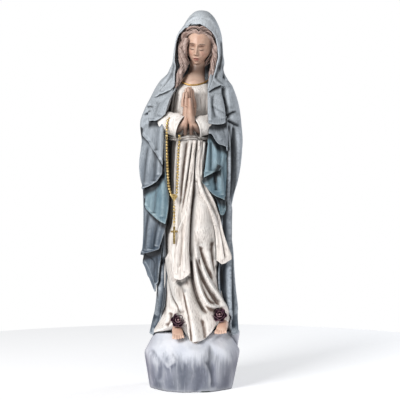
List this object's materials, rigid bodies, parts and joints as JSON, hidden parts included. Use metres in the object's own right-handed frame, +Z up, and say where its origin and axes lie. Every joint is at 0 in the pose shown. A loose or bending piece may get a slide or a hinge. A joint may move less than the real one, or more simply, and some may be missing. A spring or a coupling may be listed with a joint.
{
  "type": "madonna statue",
  "caption": "Carved and painted wooden figure of a praying veiled woman on a rock base, with a hanging brass rosary.",
  "frame": {"origin": "centre of the felt pad's underside, which the statue rests on", "axes": "+Z up; the figure's front faces -Y; +X is the figure's own left-hand side"},
  "size_m": [0.1644, 0.1347, 0.6],
  "materials": {
    "painted_mantle": "matt antique-washed paint, grey-blue outside and teal-blue inside",
    "painted_dress": "matt antique-washed cream paint",
    "painted_skin": "satin flesh paint",
    "painted_hair": "matt brown paint with lighter strokes",
    "painted_rock": "matt dry-brushed grey-blue paint",
    "painted_rose": "matt mauve paint with gilt edges",
    "gilding": "gold leaf paint over wood",
    "rosary_brass": "polished, slightly darkened in the recesses",
    "bare_peg_wood": "bare beech",
    "plated_steel": "zinc plated",
    "felt": "green pressed wool felt"
  },
  "bodies": {
    "statue": {"base_dowels": "bare_peg_wood", "coach_screw": "plated_steel", "dress": "painted_dress", "felt_pad": "felt", "fold_left_lower": "painted_mantle", "fold_left_middle": "painted_mantle", "fold_left_tip": "painted_mantle", "fold_left_upper": "painted_mantle", "fold_right_lower": "painted_mantle", "fold_right_middle": "painted_mantle", "fold_right_shoulder": "painted_mantle", "fold_right_tip": "painted_mantle", "fold_right_upper": "painted_mantle", "foot_left": "painted_skin", "foot_right": "painted_skin", "hair_crown": "painted_hair", "hair_lock_left": "painted_hair", "hair_lock_right": "painted_hair", "hand_left": "painted_skin", "hand_right": "painted_skin", "head": "painted_skin", "mantle": "painted_mantle", "neck_peg": "bare_peg_wood", "neck_trim": "gilding", "rock_base": "painted_rock", "rosary_arm_beads": "rosary_brass", "rosary_arm_links": "rosary_brass", "rose_left": "painted_rose", "rose_pins": "plated_steel", "rose_right": "painted_rose", "sash_band": "painted_dress", "sash_tail_left": "painted_dress", "sash_tail_right": "painted_dress", "sleeve_left": "painted_dress", "sleeve_right": "painted_dress", "veil": "painted_mantle", "washer": "plated_steel", "wrist_pegs": "bare_peg_wood"},
    "rosary_loop": {"rosary_outer_beads": "rosary_brass", "rosary_outer_links": "rosary_brass", "rosary_inner_beads": "rosary_brass", "rosary_inner_links": "rosary_brass", "rosary_medal": "rosary_brass"},
    "rosary_drop": {"drop_beads": "rosary_brass", "drop_links": "rosary_brass"},
    "rosary_crucifix": {"crucifix_cross": "rosary_brass", "crucifix_figure": "rosary_brass"}
  },
  "joints": [
    {"name": "rosary_swing", "type": "hinge", "parent": "statue", "child": "rosary_loop", "pos_m": [-0.0282, -0.049, 0.392], "axis": [-1, 0, 0], "range_deg": [0, 25]},
    {"name": "drop_swing", "type": "hinge", "parent": "rosary_loop", "child": "rosary_drop", "pos_m": [-0.0265, -0.049, 0.2915], "axis": [-1, 0, 0], "range_deg": [0, 30]},
    {"name": "crucifix_swing", "type": "hinge", "parent": "rosary_drop", "child": "rosary_crucifix", "pos_m": [-0.0265, -0.049, 0.2584], "axis": [-1, 0, 0], "range_deg": [0, 30]}
  ]
}
